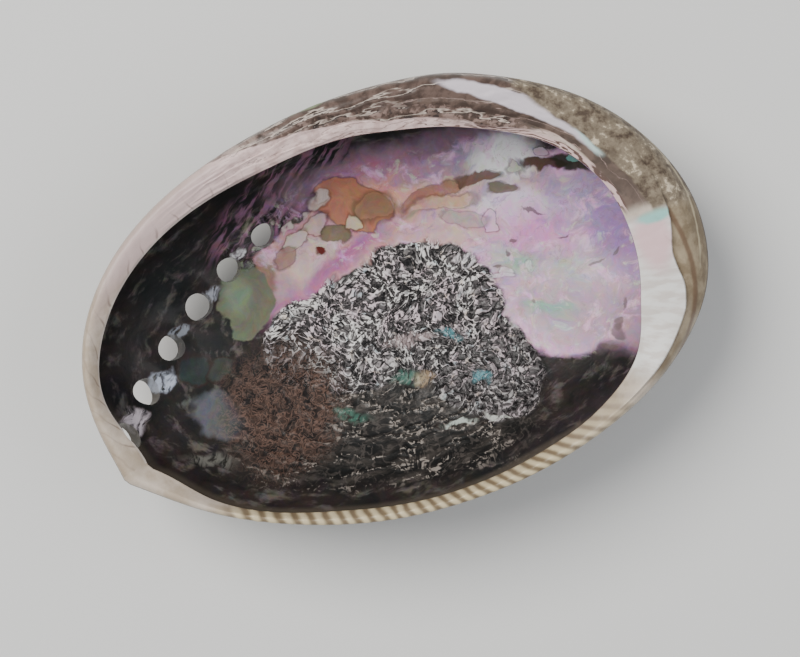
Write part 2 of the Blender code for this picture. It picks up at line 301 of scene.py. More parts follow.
def back_height(x, y, age):
    dx, dy = x - BACK_CENTRE[0], y - BACK_CENTRE[1]
    share = np.hypot(dx, dy) / keel_reach(np.arctan2(dy, dx), BACK_CENTRE)
    edge_x = BACK_CENTRE[0] + dx / np.maximum(share, 1e-6)
    edge_y = BACK_CENTRE[1] + dy / np.maximum(share, 1e-6)
    degrees = np.degrees(np.arctan2(edge_y, edge_x))
    fade = 1 - smooth(share, 0.93, 1.0)
    smooth_form = keel_height(degrees) * bowl(share, BACK_CURVE) - WORN_DEPTH * (1 - share)
    return np.maximum(smooth_form - back_relief(x, y, age) * fade, 0.0)


def bowl_relief(x, y):
    """The bowl's larger lumps, the craters of the sealed holes, and the hollows of those still open."""
    height = 0.00045 * cloud(x, y, 0.0085, 51.0, 2) * (1 - smooth(np.hypot(x, y + 0.008), 0.026, 0.034))
    height += 0.00018 * cloud(x, y, 0.016, 52.0, 2)
    for px, py, size in CRATERS:
        away = np.hypot(x - px, y - py) / size
        height += 0.0011 * np.exp(-(((away - 0.9) / 0.42) ** 2)) - 0.0006 * np.exp(-((away / 0.5) ** 2))
    for direction, radius, _ in HOLES:
        px, py, _ = spiral_point(math.radians(direction))
        away = np.hypot(x - px, y - py) / radius
        height -= 0.0011 * np.exp(-((away / 1.55) ** 4))
    for first, second in zip(HOLES, HOLES[1:]):
        px, py, _ = spiral_point(math.radians((first[0] + second[0]) / 2))
        away = np.hypot(x - px, y - py) / 0.0036
        height += 0.0009 * np.exp(-(away**2))
    return height


def skin_rings():
    """Every ring of points, from the apex out over the back, across the rim and down to the floor."""
    degrees = np.arange(COLUMNS) * 360 / COLUMNS
    c, s = np.cos(np.radians(degrees)), np.sin(np.radians(degrees))
    keel, width = keel_radius(degrees), around(degrees, BAND_WIDTH)
    rows = []

    def ring(x, y, z, across, inward=0.0, age=0.0, cords=0.0):
        values = [x, y, z, across, inward, age, cords]
        rows.append([np.broadcast_to(np.asarray(v, float), (COLUMNS,)) for v in values])

    for n in range(1, BACK_RINGS + 1):
        share = (n / BACK_RINGS) ** 1.25
        x = APEX[0] + share * (keel * c - APEX[0])
        y = APEX[1] + share * (keel * s - APEX[1])
        age = growth_age(x, y)
        z = back_height(x, y, age) if n < BACK_RINGS else keel_height(degrees)
        ring(x, y, z, n / BACK_RINGS, 0.0, age, cord_wave(x, y))
    crest, low = crest_height(degrees), keel_height(degrees)
    fall, step = around(degrees, SHELF_FALL), around(degrees, LIP_STEP)
    brow = np.maximum(CREST_SHARE, around(degrees, LIP_INSET) / width)
    for n in range(1, SLOPE_RINGS + 1):
        up = n / SLOPE_RINGS
        inward = width * brow * (1 - math.cos(math.pi / 2 * up))
        x, y = (keel - inward) * c, (keel - inward) * s
        z = low + (crest - step - low) * math.sin(math.pi / 2 * up)
        ring(x, y, z, 1 + 0.3 * up, inward / width, 0.0, cord_wave(x, y))
    for n in range(SHELF_RINGS + 1):
        down = n / SHELF_RINGS
        inward = width * brow + LIP_EDGE_WIDTH + (width * (1 - brow) - LIP_EDGE_WIDTH) * down
        x, y = (keel - inward) * c, (keel - inward) * s
        ring(x, y, crest - fall * down**SHELF_CURVE, 1.32 + 0.68 * down, inward / width)
    mouth, top = keel - width, crest - fall - EDGE_THICKNESS
    under, under_height = around(degrees, UNDERCUT), around(degrees, UNDERCUT_HEIGHT)
    for n in range(UNDER_RINGS):
        turn = math.pi / 2 * n / UNDER_RINGS
        radius = mouth + under * math.sin(turn)
        z = top - under_height * (1 - math.cos(turn))
        ring(radius * c, radius * s, z, 2.05 + 0.25 * n / UNDER_RINGS, 1.0)
    deep, wall = top - under_height, mouth + under
    for n in range(BOWL_RINGS):
        share = 1 - (n / BOWL_RINGS) ** 1.2
        x = FLOOR_CENTRE[0] + share * (wall * c - FLOOR_CENTRE[0])
        y = FLOOR_CENTRE[1] + share * (wall * s - FLOOR_CENTRE[1])
        relief = bowl_relief(x, y) * (1 - smooth(share, 0.93, 1.0))
        z = FLOOR_THICKNESS + (deep - FLOOR_THICKNESS) * bowl(share, FLOOR_CURVE) + relief
        ring(x, y, z, 2.3 + 0.7 * n / BOWL_RINGS, 2 - share)
    return np.array(rows)


FACTS = ("across", "inward", "age", "cords")


def deselect_all():
    bpy.ops.object.select_all(action="DESELECT")


def pick(piece):
    deselect_all()
    piece.select_set(True)
    bpy.context.view_layer.objects.active = piece


def read_fact(mesh, name):
    found = np.empty(len(mesh.vertices))
    mesh.attributes[name].data.foreach_get("value", found)
    return found


def points(mesh):
    found = np.empty(len(mesh.vertices) * 3)
    mesh.vertices.foreach_get("co", found)
    return found.reshape(-1, 3)


def skin():
    """A ball with one pole on the apex and one on the floor, whose rings are drawn out into the shell."""
    rows = skin_rings()
    rings = len(rows)
    deselect_all()
    bpy.ops.mesh.primitive_uv_sphere_add(segments=COLUMNS, ring_count=rings + 1, radius=1.0)
    shell = bpy.context.object
    shell.name = "shell_skin"
    ball = points(shell.data)
    polar = np.arccos(np.clip(-ball[:, 2], -1, 1)) / math.pi * (rings + 1)
    ring = np.clip(np.rint(polar).astype(int), 0, rings + 1)
    column = np.rint(np.degrees(np.arctan2(ball[:, 1], ball[:, 0])) * COLUMNS / 360).astype(int) % COLUMNS
    poles = [np.mean(row, axis=1)[None, :, None].repeat(COLUMNS, axis=2) for row in (rows[0], rows[-1])]
    table = np.concatenate([poles[0], rows, poles[1]])
    placed = table[ring, :, column]
    shell.data.vertices.foreach_set("co", placed[:, :3].ravel())
    for n, name in enumerate(FACTS):
        shell.data.attributes.new(name, "FLOAT", "POINT").data.foreach_set("value", placed[:, 3 + n])
    shell.data.update()
    return shell


def oval_share(x, y, oval):
    """0 in the middle of an oval seen from above and 1 on its edge."""
    px, py, along, across, turn = oval
    c, s = math.cos(math.radians(turn)), math.sin(math.radians(turn))
    dx, dy = x - px, y - py
    return np.hypot((c * dx + s * dy) / along, (c * dy - s * dx) / across)


def draw_finer(shell):
    """The rim and the floor's patches are subdivided once, for the relief that is pressed into them."""
    place, across = points(shell.data), read_fact(shell.data, "across")
    patches = (*SCAR_LOBES, BROWN_PATCH, DARK_PATCH)
    near = np.min([oval_share(place[:, 0], place[:, 1], oval) for oval in patches], axis=0) < 1.08
    fine = ((across > 1.0) & (across < 2.06)) | ((across > 2.3) & near)
    pick(shell)
    bpy.ops.object.mode_set(mode="EDIT")
    bpy.ops.mesh.select_mode(type="VERT")
    bpy.ops.mesh.select_all(action="DESELECT")
    bpy.ops.object.mode_set(mode="OBJECT")
    shell.data.vertices.foreach_set("select", fine)
    bpy.ops.object.mode_set(mode="EDIT")
    bpy.ops.mesh.subdivide(number_cuts=1)
    bpy.ops.object.mode_set(mode="OBJECT")


def hole_cutter():
    """One plug for each open hole, joined in one object. Each is slightly out of round."""
    plugs = []
    for number, (direction, radius, lean_degrees) in enumerate(HOLES):
        x, y, _ = spiral_point(math.radians(direction))
        dx, dy = x - BACK_CENTRE[0], y - BACK_CENTRE[1]
        share = math.hypot(dx, dy) / float(keel_reach(math.atan2(dy, dx), BACK_CENTRE))
        degrees = math.degrees(math.atan2(BACK_CENTRE[1] + dy / share, BACK_CENTRE[0] + dx / share))
        height = float(keel_height(degrees) * bowl(share, BACK_CURVE)) + WALL_MIDDLE
        lean = math.radians(lean_degrees)
        axis = Vector((0, 0, 1)) * math.cos(lean) - Vector((x, y, 0)).normalized() * math.sin(lean)
        deselect_all()
        bpy.ops.mesh.primitive_cylinder_add(
            vertices=44, radius=radius, depth=0.030, location=(x, y, height),
            rotation=axis.to_track_quat("Z", "Y").to_euler(),
        )
        plug = bpy.context.object
        for vertex in plug.data.vertices:
            turn = math.atan2(vertex.co.y, vertex.co.x)
            swell = 1 + 0.045 * math.cos(2 * turn + number) + 0.03 * math.cos(3 * turn + 2 * number)
            vertex.co.x *= swell
            vertex.co.y *= swell
        plugs.append(plug)
    deselect_all()
    for plug in plugs:
        plug.select_set(True)
    bpy.context.view_layer.objects.active = plugs[0]
    bpy.ops.object.join()
    return plugs[0]


def bore_holes(shell):
    """Cuts the open holes, and gives the new points the facts of the nearest old ones."""
    before = points(shell.data)
    facts = {name: read_fact(shell.data, name) for name in FACTS}
    cutter = hole_cutter()
    pick(shell)
    cut = shell.modifiers.new("holes", "BOOLEAN")
    cut.operation = "DIFFERENCE"
    cut.solver = "EXACT"
    cut.object = cutter
    bpy.ops.object.modifier_apply(modifier=cut.name)
    bpy.data.objects.remove(cutter)
    tree = kdtree.KDTree(len(before))
    for n, point in enumerate(before):
        tree.insert(point, n)
    tree.balance()
    nearest = np.array([tree.find(point)[1] for point in points(shell.data)])
    for name in FACTS:
        old = shell.data.attributes.get(name)
        if old:
            shell.data.attributes.remove(old)
        kept = shell.data.attributes.new(name, "FLOAT", "POINT")
        kept.data.foreach_set("value", facts[name][nearest])


def srgb(red, green, blue):
    """A colour given as it looks on a screen, 0 to 255, as the shader wants it."""
    parts = [part / 255 for part in (red, green, blue)]
    return [part / 12.92 if part <= 0.04045 else ((part + 0.055) / 1.055) ** 2.4 for part in parts] + [1.0]


class Value:
    """A number in a tree of nodes. Sums on it add the Math nodes that work them out."""

    def __init__(self, sums, socket):
        self.sums = sums
        self.socket = socket

    def maths(self, operation, first, second=0.0):
        return self.sums.add("ShaderNodeMath", {"operation": operation}, {0: first, 1: second})

    def __add__(self, other):
        return self.maths("ADD", self, other)

    def __radd__(self, other):
        return self.maths("ADD", other, self)

    def __sub__(self, other):
        return self.maths("SUBTRACT", self, other)

    def __rsub__(self, other):
        return self.maths("SUBTRACT", other, self)

    def __mul__(self, other):
        return self.maths("MULTIPLY", self, other)

    def __rmul__(self, other):
        return self.maths("MULTIPLY", other, self)

    def __truediv__(self, other):
        return self.maths("DIVIDE", self, other)

    def __abs__(self):
        return self.maths("ABSOLUTE", self)

    def root(self):
        return self.maths("SQRT", self)

    def least(self, other):
        return self.maths("MINIMUM", self, other)


class Sums:
    """A tree of nodes under construction, the same for a material and for a shape."""

    def __init__(self, tree):
        self.tree = tree
        tree.nodes.clear()

    def add(self, kind, settings=None, sockets=None, out=0):
        """Any node: its settings, then the values or links of its sockets. Gives one of its outputs."""
        node = self.tree.nodes.new(kind)
        for name, setting in (settings or {}).items():
            setattr(node, name, setting)
        for name, value in (sockets or {}).items():
            if isinstance(value, Value):
                self.tree.links.new(value.socket, node.inputs[name])
            else:
                node.inputs[name].default_value = value
        return Value(self, node.outputs[out]) if node.outputs else node

    def vector(self, operation, first, second, out=0):
        return self.add("ShaderNodeVectorMath", {"operation": operation}, {0: first, 1: second}, out)

    def part(self, place, axis):
        return self.add("ShaderNodeSeparateXYZ", {}, {0: place}, out=axis)

    def joined(self, x, y):
        return self.add("ShaderNodeCombineXYZ", {}, {0: x, 1: y})

    def turn(self, rise, run):
        """The angle of a slope in radians, all the way round."""
        return rise.maths("ARCTAN2", rise, run)

    def noise(self, place, size, detail=2.0, rough=0.5, out="Fac"):
        """Soft noise, 0 to 1, with lumps of this size in metres."""
        sockets = {"Vector": place, "Scale": 1 / size, "Detail": detail, "Roughness": rough}
        return self.add("ShaderNodeTexNoise", {}, sockets, out)

    def scraps(self, place, size, feature, out):
        """A surface broken up in pieces of this size in metres."""
        sockets = {"Vector": place, "Scale": 1 / size}
        return self.add("ShaderNodeTexVoronoi", {"feature": feature}, sockets, out)

    def step(self, value, low, high):
        """0 at low, 1 at high and an even bend between them. Low may be the greater."""
        sockets = {"Value": value, "From Min": low, "From Max": high}
        return self.add("ShaderNodeMapRange", {"interpolation_type": "SMOOTHSTEP"}, sockets)

    def most(self, first, second):
        return first.maths("MAXIMUM", first, second)

    def line(self, value, width):
        """1 where the value is 0, fading out to 0 at this width on either side."""
        return self.step(abs(value), width, 0.25 * width)

    def combed(self, place, degrees, stretch):
        """The place, drawn together along this direction, so that noise on it runs in streaks that way."""
        sockets = {"Vector": place, "Angle": math.radians(-degrees)}
        turned = self.add("ShaderNodeVectorRotate", {"rotation_type": "Z_AXIS"}, sockets)
        return self.vector("MULTIPLY", turned, (1 / stretch, 1, 1))

    def wave(self, value):
        """0 to 1 and back to 0 as the value grows by one."""
        return 2 * value.maths("PINGPONG", value, 0.5)

    def warped(self, place, size, reach, detail=2.0):
        """The place, pushed about by noise as far as reach in metres."""
        push = self.vector("SUBTRACT", self.noise(place, size, detail, out="Color"), (0.5, 0.5, 0.5))
        push = self.vector("MULTIPLY", push, (2 * reach, 2 * reach, 0.0))
        return self.vector("ADD", place, push)

    def spot(self, place, x, y, along, across, turn):
        """How far out of an oval seen from above: 0 at its middle and 1 on its edge."""
        c, s = math.cos(math.radians(turn)), math.sin(math.radians(turn))
        first = self.vector("DOT_PRODUCT", place, (c / along, s / along, 0), "Value")
        second = self.vector("DOT_PRODUCT", place, (-s / across, c / across, 0), "Value")
        middle = ((c * x + s * y) / along, (c * y - s * x) / across, 0)
        return self.vector("DISTANCE", self.joined(first, second), middle, "Value")


class Finish(Sums):
    """A material under construction."""

    def __init__(self, name):
        self.material = bpy.data.materials.new(name)
        self.material.use_nodes = True
        super().__init__(self.material.node_tree)

    def place(self):
        """Where the surface is, measured as the outlines are."""
        at = self.add("ShaderNodeTexCoord", out="Object")
        return self.vector("SUBTRACT", at, DRAWN_FROM)

    def fact(self, name):
        return self.add("ShaderNodeAttribute", {"attribute_name": name}, out="Fac")

    def blend(self, share, first, second, kind="MIX"):
        """The second colour over the first by this share. Each is a value, or 0 to 255 as on a screen."""
        tints = [srgb(*tint) if isinstance(tint, tuple) else tint for tint in (first, second)]
        settings = {"data_type": "RGBA", "blend_type": kind}
        return self.add("ShaderNodeMix", settings, {0: share, 6: tints[0], 7: tints[1]}, out=2)

    def bumped(self, height):
        """The surface's normal over relief of this height in metres, too fine for the mesh."""
        return self.add("ShaderNodeBump", {}, {"Strength": 0.8, "Distance": 1.0, "Height": height})

    def surface(self, sockets):
        shader = self.add("ShaderNodeBsdfPrincipled", {}, sockets)
        self.add("ShaderNodeOutputMaterial", {}, {"Surface": shader})
        return self.material


class Form(Sums):
    """Relief that is pressed into a mesh, worked out with the same nodes as its finish."""

    def __init__(self, name):
        self.group = bpy.data.node_groups.new(name, "GeometryNodeTree")
        for side in ("INPUT", "OUTPUT"):
            self.group.interface.new_socket("Geometry", in_out=side, socket_type="NodeSocketGeometry")
        super().__init__(self.group)

    def place(self):
        return self.add("GeometryNodeInputPosition")

    def fact(self, name):
        return self.add("GeometryNodeInputNamedAttribute", {"data_type": "FLOAT"}, {"Name": name})

    def press(self, piece, height):
        """Raises the piece's surface by this height in metres, and keeps the result."""
        normal = self.add("GeometryNodeInputNormal")
        offset = self.add("ShaderNodeVectorMath", {"operation": "SCALE"}, {0: normal, "Scale": height})
        mesh = self.add("NodeGroupInput")
        raised = self.add("GeometryNodeSetPosition", {}, {"Geometry": mesh, "Offset": offset})
        self.add("NodeGroupOutput", {}, {0: raised})
        pick(piece)
        relief = piece.modifiers.new(self.group.name, "NODES")
        relief.node_group = self.group
        bpy.ops.object.modifier_apply(modifier=relief.name)


def crumple(sums, place):
    """Crumpled nacre: (tone, height), each about 0 in the folds and 1 on the crests. The tone is partly
    painted highlight on the crests and painted shade in the folds.
    """
    bent = sums.warped(place, 0.0050, 0.0013, 3.0)
    scrap = sums.scraps(bent, SCRAP_SIZE, "F1", "Color")
    grey = sums.vector("DOT_PRODUCT", scrap, (1, 0, 0), "Value")
    body = sums.step(sums.scraps(bent, SCRAP_SIZE, "DISTANCE_TO_EDGE", "Distance"), 0.01, 0.13)
    curls = sums.line(sums.noise(bent, 0.0027, 2.0) - 0.5, 0.060)
    wisps = sums.line(sums.noise(sums.vector("ADD", bent, (0.1, 0.3, 0)), 0.0017, 1.0) - 0.5, 0.065)
    folds = sums.line(sums.noise(sums.vector("ADD", bent, (0.2, 0.1, 0)), 0.0022, 2.0) - 0.5, 0.038)
    drift = sums.noise(place, 0.0070, 2.0)
    tone = (0.06 + 0.46 * sums.step(grey, 0.25, 1.0)) * (0.45 + 0.55 * body)
    tone = (tone + sums.most(curls * 0.75, wisps * 0.25) * (0.92 - tone)) * (1 - 0.84 * folds)
    tone = tone * (0.42 + 0.80 * drift + 0.26 * sums.noise(bent, 0.0008, 2.0))
    return tone, body * (0.30 + 0.40 * grey) + 0.6 * curls - 0.3 * folds


def scar_edge(sums, ragged):
    """How far out of the muscle scar: 1 on its edge."""
    first, second, third = [sums.spot(ragged, *lobe) for lobe in SCAR_LOBES]
    return first.least(second).least(third)


def flow(sums, place, stretch):
    """A place counted across the bowl's growth lines first, and second, drawn together, along them."""
    out_x = (sums.part(place, 0) - FLOW_CENTRE[0]) / FLOW_RADII[0]
    out_y = (sums.part(place, 1) - FLOW_CENTRE[1]) / FLOW_RADII[1]
    out = (out_x * out_x + out_y * out_y).root()
    return sums.joined(out * FLOW_RADII[1], sums.turn(out_x, 0 - out_y) * FLOW_RADII[0] / stretch)


def floor_pattern(sums, place):
    """What is worked into the floor: each patch's share, its lines, and the height of it all in metres."""
    gentle = sums.warped(place, 0.014, 0.0040, 2.0)
    ragged = sums.warped(gentle, 0.0040, 0.0022, 5.0)
    scar = sums.step(scar_edge(sums, ragged), 1.03, 0.97)
    tone, crests = crumple(sums, gentle)
    brown = sums.step(sums.spot(ragged, *BROWN_PATCH), 1.35, 0.65)
    dark = sums.step(sums.spot(ragged, *DARK_PATCH), 1.20, 0.85)
    along = flow(sums, sums.warped(place, 0.0060, 0.0016, 2.0), 5.0)
    streaks = sums.noise(along, 0.0020, 4.0, 0.6)
    lines = sums.line(sums.noise(along, 0.0042, 3.0, 0.55) - 0.5, 0.030)
    arc_x = sums.part(ragged, 0) - BROWN_PATCH[0]
    arc_y = sums.part(ragged, 1) - BROWN_PATCH[1] - 0.003
    rings = (arc_x * arc_x + arc_y * arc_y).root()
    curls = sums.noise(sums.warped(place, 0.0035, 0.0016, 2.0), 0.0030, 2.0)
    arcs = sums.line(sums.wave(rings * 210 + curls * 4.2) - 0.5, 0.17)
    plain = dark * (lines + streaks) + brown * arcs
    height = scar * crests * SCAR_HEIGHT + (1 - scar) * plain * FLOOR_LINE_HEIGHT
    return {
        "gentle": gentle, "ragged": ragged, "scar": scar, "tone": tone, "brown": brown, "dark": dark,
        "streaks": streaks, "lines": lines, "arcs": arcs, "curls": curls, "height": height,
    }


def rim_pattern(sums, place, inward):
    """The rim unrolled, 1 mm to a degree and 15 mm across: what is worked into it, and its height."""
    sockets = {"Vector": place, "Angle": math.radians(-SEAM_FROM)}
    turned = sums.add("ShaderNodeVectorRotate", {"rotation_type": "Z_AXIS"}, sockets)
    degrees = sums.turn(sums.part(turned, 1), sums.part(turned, 0)) * math.degrees(1) + SEAM_FROM
    unrolled = sums.joined(degrees * 0.001, inward * 0.015)
    ragged = sums.warped(unrolled, 0.0060, 0.0011, 3.0)
    bend = sums.noise(sums.joined(degrees * 0.00022, inward * 0.015), 0.0040, 4.0, 0.55)
    climb = inward * 4.6 + bend * 3.2
    part = climb.maths("FRACT", climb)
    stair = sums.step(part, 0.0, 0.30) - part
    ribs = sums.wave(degrees / RIB_SPACING + inward * 0.8 + 0.5 * sums.noise(place, 0.0060, 2.0))
    grains = sums.noise(place, 0.0030, 5.0, 0.66)
    shelf_side = sums.step(degrees, 16, 40) * sums.step(degrees, 150, 122)
    lip_side = sums.step(degrees, -150, -142) * sums.step(degrees, -30, -62)
    left_side = sums.step(degrees, 112, 140)
    crust = sums.step(sums.spot(ragged, *CRUST), 1.05, 0.97)
    dashes = sums.wave(degrees / 5.0 - inward * 1.3 + 1.6 * sums.noise(place, 0.0110, 2.0))
    middle = sums.step(inward, 0.0, 0.12) * sums.step(inward, 1.0, 0.90)
    height = shelf_side * (stair + 0.5) * LAYER_HEIGHT + lip_side * ribs * RIB_HEIGHT
    height = height + crust * (grains - 0.5) * RIM_CRUST_HEIGHT + left_side * dashes * DASH_HEIGHT
    height = (height + (sums.noise(place, 0.0110, 3.0) - 0.5) * RIM_LUMP_HEIGHT) * middle
    return {
        "degrees": degrees, "ragged": ragged, "part": part, "bend": bend, "ribs": ribs, "grains": grains,
        "shelf": shelf_side, "lip": lip_side, "left": left_side, "crust": crust, "dashes": dashes,
        "height": height,
    }


def press_relief(shell):
    """Works the floor's patches and the rim's layers, ribs and crust into the skin."""
    form = Form("shell_relief")
    place = form.place()
    flat = form.vector("MULTIPLY", place, (1, 1, 0))
    across, inward = form.fact("across"), form.fact("inward")
    floor = floor_pattern(form, flat)["height"] * form.step(across, 2.32, 2.42)
    band = form.step(across, 2.04, 2.0) * form.step(across, 1.0, 1.02)
    rim = rim_pattern(form, place, inward)["height"] * band
    form.press(shell, floor + rim)


def part_faces(shell):
    """Gives each face its finish: outside, rim or bowl. The walls of the holes go with the bowl."""
    mesh = shell.data
    across = read_fact(mesh, "across")
    corners = np.empty(len(mesh.loops), int)
    mesh.loops.foreach_get("vertex_index", corners)
    starts = np.empty(len(mesh.polygons), int)
    mesh.polygons.foreach_get("loop_start", starts)
    low = np.minimum.reduceat(across[corners], starts)
    high = np.maximum.reduceat(across[corners], starts)
    kind = np.where(high <= 1.001, 0, np.where(high <= 2.001, 1, 2))
    kind = np.where(high - low > 0.6, 2, kind)
    mesh.materials.clear()
    for finish in (outside_finish(), rim_finish(), bowl_finish()):
        mesh.materials.append(finish)
    mesh.polygons.foreach_set("material_index", kind.astype(np.int32))
    mesh.update()


# Soft stains of colour and painted highlights in the bowl, as (x, y, half length, half width, turn,
# softness, strength, colour).
BOWL_TINTS = (
    (0.0150, 0.0335, 0.0330, 0.0075, -4, 0.30, 1.00, (136, 108, 124)),
    (0.0451, 0.0010, 0.0262, 0.0258, -18, 0.035, 1.00, (212, 174, 200)),
    (0.0180, 0.0220, 0.0300, 0.0124, -2, 0.08, 1.00, (208, 170, 172)),
    (-0.0080, 0.0215, 0.0230, 0.0098, 12, 0.05, 1.00, (200, 152, 156)),
    (-0.0199, 0.0165, 0.0110, 0.0062, 20, 0.20, 1.00, (206, 178, 170)),
    (-0.0266, 0.0110, 0.0060, 0.0050, 40, 0.30, 0.80, (172, 128, 148)),
    (-0.0105, 0.0148, 0.0175, 0.0026, 24, 0.60, 0.90, (168, 98, 146)),
    (0.0035, 0.0355, 0.0110, 0.0036, 4, 0.50, 0.90, (170, 120, 142)),
    (0.0100, 0.0305, 0.0120, 0.0034, 2, 0.50, 0.95, (228, 154, 130)),
    (0.0166, 0.0261, 0.0165, 0.0046, 2, 0.50, 0.70, (222, 168, 150)),
    (0.0215, 0.0312, 0.0140, 0.0034, -4, 0.60, 0.85, (158, 126, 156)),
    (0.0330, 0.0298, 0.0100, 0.0040, -18, 0.50, 0.70, (162, 148, 164)),
    # Painted highlights on the nacre high on the right: a white glare, and a paler one below it.
    (0.0385, 0.0276, 0.0084, 0.0054, -18, 0.50, 1.00, (255, 255, 255)),
    (0.0400, 0.0150, 0.0130, 0.0040, -20, 0.50, 0.90, (240, 228, 244)),
    (0.0434, 0.0071, 0.0130, 0.0056, -20, 0.70, 0.90, (214, 146, 196)),
    (0.0560, 0.0105, 0.0110, 0.0070, -30, 0.60, 0.80, (172, 152, 188)),
    (0.0600, -0.0040, 0.0070, 0.0140, -2, 0.60, 0.90, (142, 112, 162)),
    (0.0434, -0.0102, 0.0150, 0.0100, -18, 0.60, 0.80, (190, 164, 174)),
    (0.0570, -0.0190, 0.0110, 0.0080, -30, 0.60, 0.80, (186, 146, 172)),
    (0.0500, -0.0170, 0.0180, 0.0070, -20, 0.50, 0.85, (166, 134, 152)),
    (0.0337, 0.0026, 0.0052, 0.0034, -18, 0.80, 0.80, (128, 182, 150)),
    (0.0473, -0.0029, 0.0066, 0.0042, -18, 0.80, 0.45, (158, 190, 168)),
    (0.0380, -0.0124, 0.0056, 0.0020, -12, 0.50, 0.85, (104, 168, 140)),
    (-0.0300, 0.0160, 0.0030, 0.0066, -38, 0.30, 0.85, (128, 98, 78)),
    (-0.0360, 0.0126, 0.0067, 0.0086, -18, 0.05, 0.95, (104, 106, 88)),
    (-0.0380, 0.0150, 0.0030, 0.0040, -18, 0.60, 0.80, (120, 136, 110)),
    (-0.0510, -0.0128, 0.0078, 0.0052, -38, 0.20, 0.70, (104, 106, 112)),
    (-0.0450, -0.0190, 0.0060, 0.0030, -50, 0.20, 0.60, (120, 122, 126)),
)

# Worn-through stains with a dark outline, in the same order.
BOWL_STAINS = (
    (-0.0024, 0.0281, 0.0098, 0.0056, -32, 0.04, 0.90, (178, 116, 86)),
    (0.0030, 0.0262, 0.0042, 0.0034, -10, 0.30, 0.70, (128, 108, 80)),
    (0.0180, 0.0254, 0.0085, 0.0017, 4, 0.10, 0.80, (150, 102, 82)),
    (0.0196, 0.0222, 0.0093, 0.0018, -6, 0.30, 0.70, (200, 160, 136)),
    (0.0307, 0.0255, 0.0055, 0.0014, -20, 0.06, 0.90, (104, 72, 58)),
    (0.0364, 0.0204, 0.0026, 0.0013, -28, 0.06, 0.85, (96, 88, 62)),
    (0.0397, 0.0242, 0.0023, 0.0010, -18, 0.20, 0.80, (190, 198, 172)),
    (0.0477, 0.0228, 0.0056, 0.0013, -20, 0.08, 0.95, (84, 60, 40)),
    (0.0540, 0.0214, 0.0052, 0.0019, -24, 0.10, 0.95, (44, 42, 26)),
    (0.0487, 0.0263, 0.0014, 0.0013, 0, 0.15, 0.90, (206, 190, 200)),
    (0.0553, 0.0221, 0.0015, 0.0012, 0, 0.20, 0.90, (124, 176, 164)),
    (-0.0092, 0.0227, 0.0042, 0.0022, -8, 0.06, 0.90, (112, 100, 74)),
    (-0.0036, 0.0243, 0.0026, 0.0016, 20, 0.20, 0.90, (206, 196, 166)),
    (-0.0105, 0.0316, 0.0024, 0.0018, -18, 0.20, 0.70, (198, 182, 176)),
    (-0.0133, 0.0262, 0.0036, 0.0022, 20, 0.10, 0.90, (196, 168, 164)),
    (-0.0195, 0.0235, 0.0042, 0.0018, 36, 0.10, 0.90, (206, 192, 180)),
    (-0.0230, 0.0200, 0.0030, 0.0020, 50, 0.10, 0.85, (150, 116, 104)),
    (0.0305, 0.0141, 0.0020, 0.0028, -18, 0.08, 0.95, (226, 190, 214)),
    (0.0241, 0.0163, 0.0062, 0.0023, -18, 0.08, 0.60, (168, 158, 152)),
    (-0.0150, 0.0184, 0.0010, 0.0008, 0, 0.10, 1.00, (100, 36, 30)),
    (-0.0542, 0.0000, 0.0041, 0.0032, -18, 0.20, 0.90, (40, 50, 48)),
    (-0.0470, -0.0020, 0.0034, 0.0026, 30, 0.20, 0.80, (58, 62, 58)),
)

# Glints of bare nacre and pearls, in the same order. The first five, on the ridges between the holes, are
# painted highlights.
GLINTS = (
    # Painted highlights on the nacre ridges between the holes.
    (-0.0330, 0.0249, 0.0022, 0.0014, 28, 0.25, 1.0, (216, 214, 216)),
    (-0.0438, 0.0181, 0.0028, 0.0019, 22, 0.25, 0.9, (168, 172, 182)),
    (-0.0539, 0.0104, 0.0030, 0.0022, 22, 0.25, 0.8, (150, 156, 166)),
    (-0.0622, 0.0007, 0.0034, 0.0026, 22, 0.25, 1.0, (184, 192, 208)),
    (-0.0713, -0.0078, 0.0032, 0.0034, 32, 0.25, 1.0, (194, 184, 190)),
    (0.0121, -0.0110, 0.0028, 0.0014, -38, 0.50, 0.6, (96, 164, 172)),
    (0.0158, -0.0242, 0.0024, 0.0014, -28, 0.50, 0.6, (110, 176, 186)),
    (-0.0030, -0.0182, 0.0038, 0.0019, -18, 0.50, 0.5, (88, 140, 124)),
    (-0.0190, -0.0241, 0.0044, 0.0016, -28, 0.50, 0.5, (80, 134, 116)),
    (0.0012, -0.0196, 0.0028, 0.0017, -18, 0.50, 0.5, (206, 178, 142)),
    (0.0071, -0.0336, 0.0052, 0.0010, -12, 0.30, 0.8, (190, 200, 190)),
    (0.0183, -0.0344, 0.0036, 0.0007, -18, 0.30, 0.8, (204, 206, 198)),
    (0.0017, -0.0094, 0.0066, 0.0016, -8, 0.30, 0.5, (196, 176, 174)),
    (-0.0560, -0.0225, 0.0060, 0.0016, -30, 0.40, 0.5, (128, 126, 118)),
    (0.0194, 0.0071, 0.0013, 0.0010, 0, 0.20, 0.9, (226, 218, 220)),
    (0.0223, 0.0051, 0.0018, 0.0016, 0, 0.20, 0.9, (220, 214, 218)),
    (0.0302, -0.0001, 0.0013, 0.0010, 0, 0.20, 0.9, (222, 216, 222)),
    (0.0285, -0.0012, 0.0026, 0.0008, 0, 0.20, 0.8, (216, 210, 216)),
    (0.0364, 0.0006, 0.0010, 0.0016, 0, 0.20, 0.7, (214, 220, 214)),
    (-0.0096, 0.0323, 0.0017, 0.0016, 0, 0.25, 0.8, (206, 190, 184)),
    (-0.0148, 0.0305, 0.0015, 0.0013, 0, 0.25, 0.8, (200, 186, 180)),
    (-0.0202, 0.0280, 0.0018, 0.0011, 28, 0.25, 0.8, (204, 192, 184)),
)

